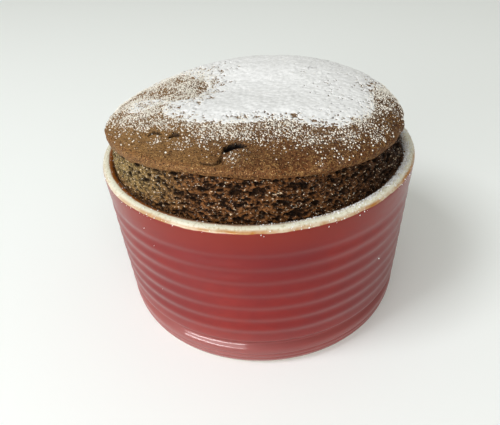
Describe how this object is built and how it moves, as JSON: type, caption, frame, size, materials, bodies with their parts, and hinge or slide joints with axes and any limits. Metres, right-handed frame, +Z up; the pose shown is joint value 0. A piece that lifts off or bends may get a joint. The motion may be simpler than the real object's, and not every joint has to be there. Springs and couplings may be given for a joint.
{
  "type": "chocolate souffle in a ramekin",
  "caption": "Risen chocolate souffle with a low domed, sugar-dusted crust over open crumb, baked in its own round ribbed stoneware ramekin.",
  "frame": {"origin": "middle of the foot ring's plane, where the dish stands", "axes": "+Z up through the middle of the dish; -Y is the front, the side of the cracked crust that faces the viewer; +X to the viewer's right"},
  "size_m": [0.095, 0.095, 0.069],
  "materials": {
    "cranberry_glaze": "gloss cranberry red glaze on stoneware, cream glaze on the lip and inside",
    "chocolate_sponge": "matt baked chocolate sponge, brown crust and darker open crumb, dusted with icing sugar"
  },
  "bodies": {
    "root": {"ramekin": "cranberry_glaze", "souffle": "chocolate_sponge"}
  },
  "joints": []
}
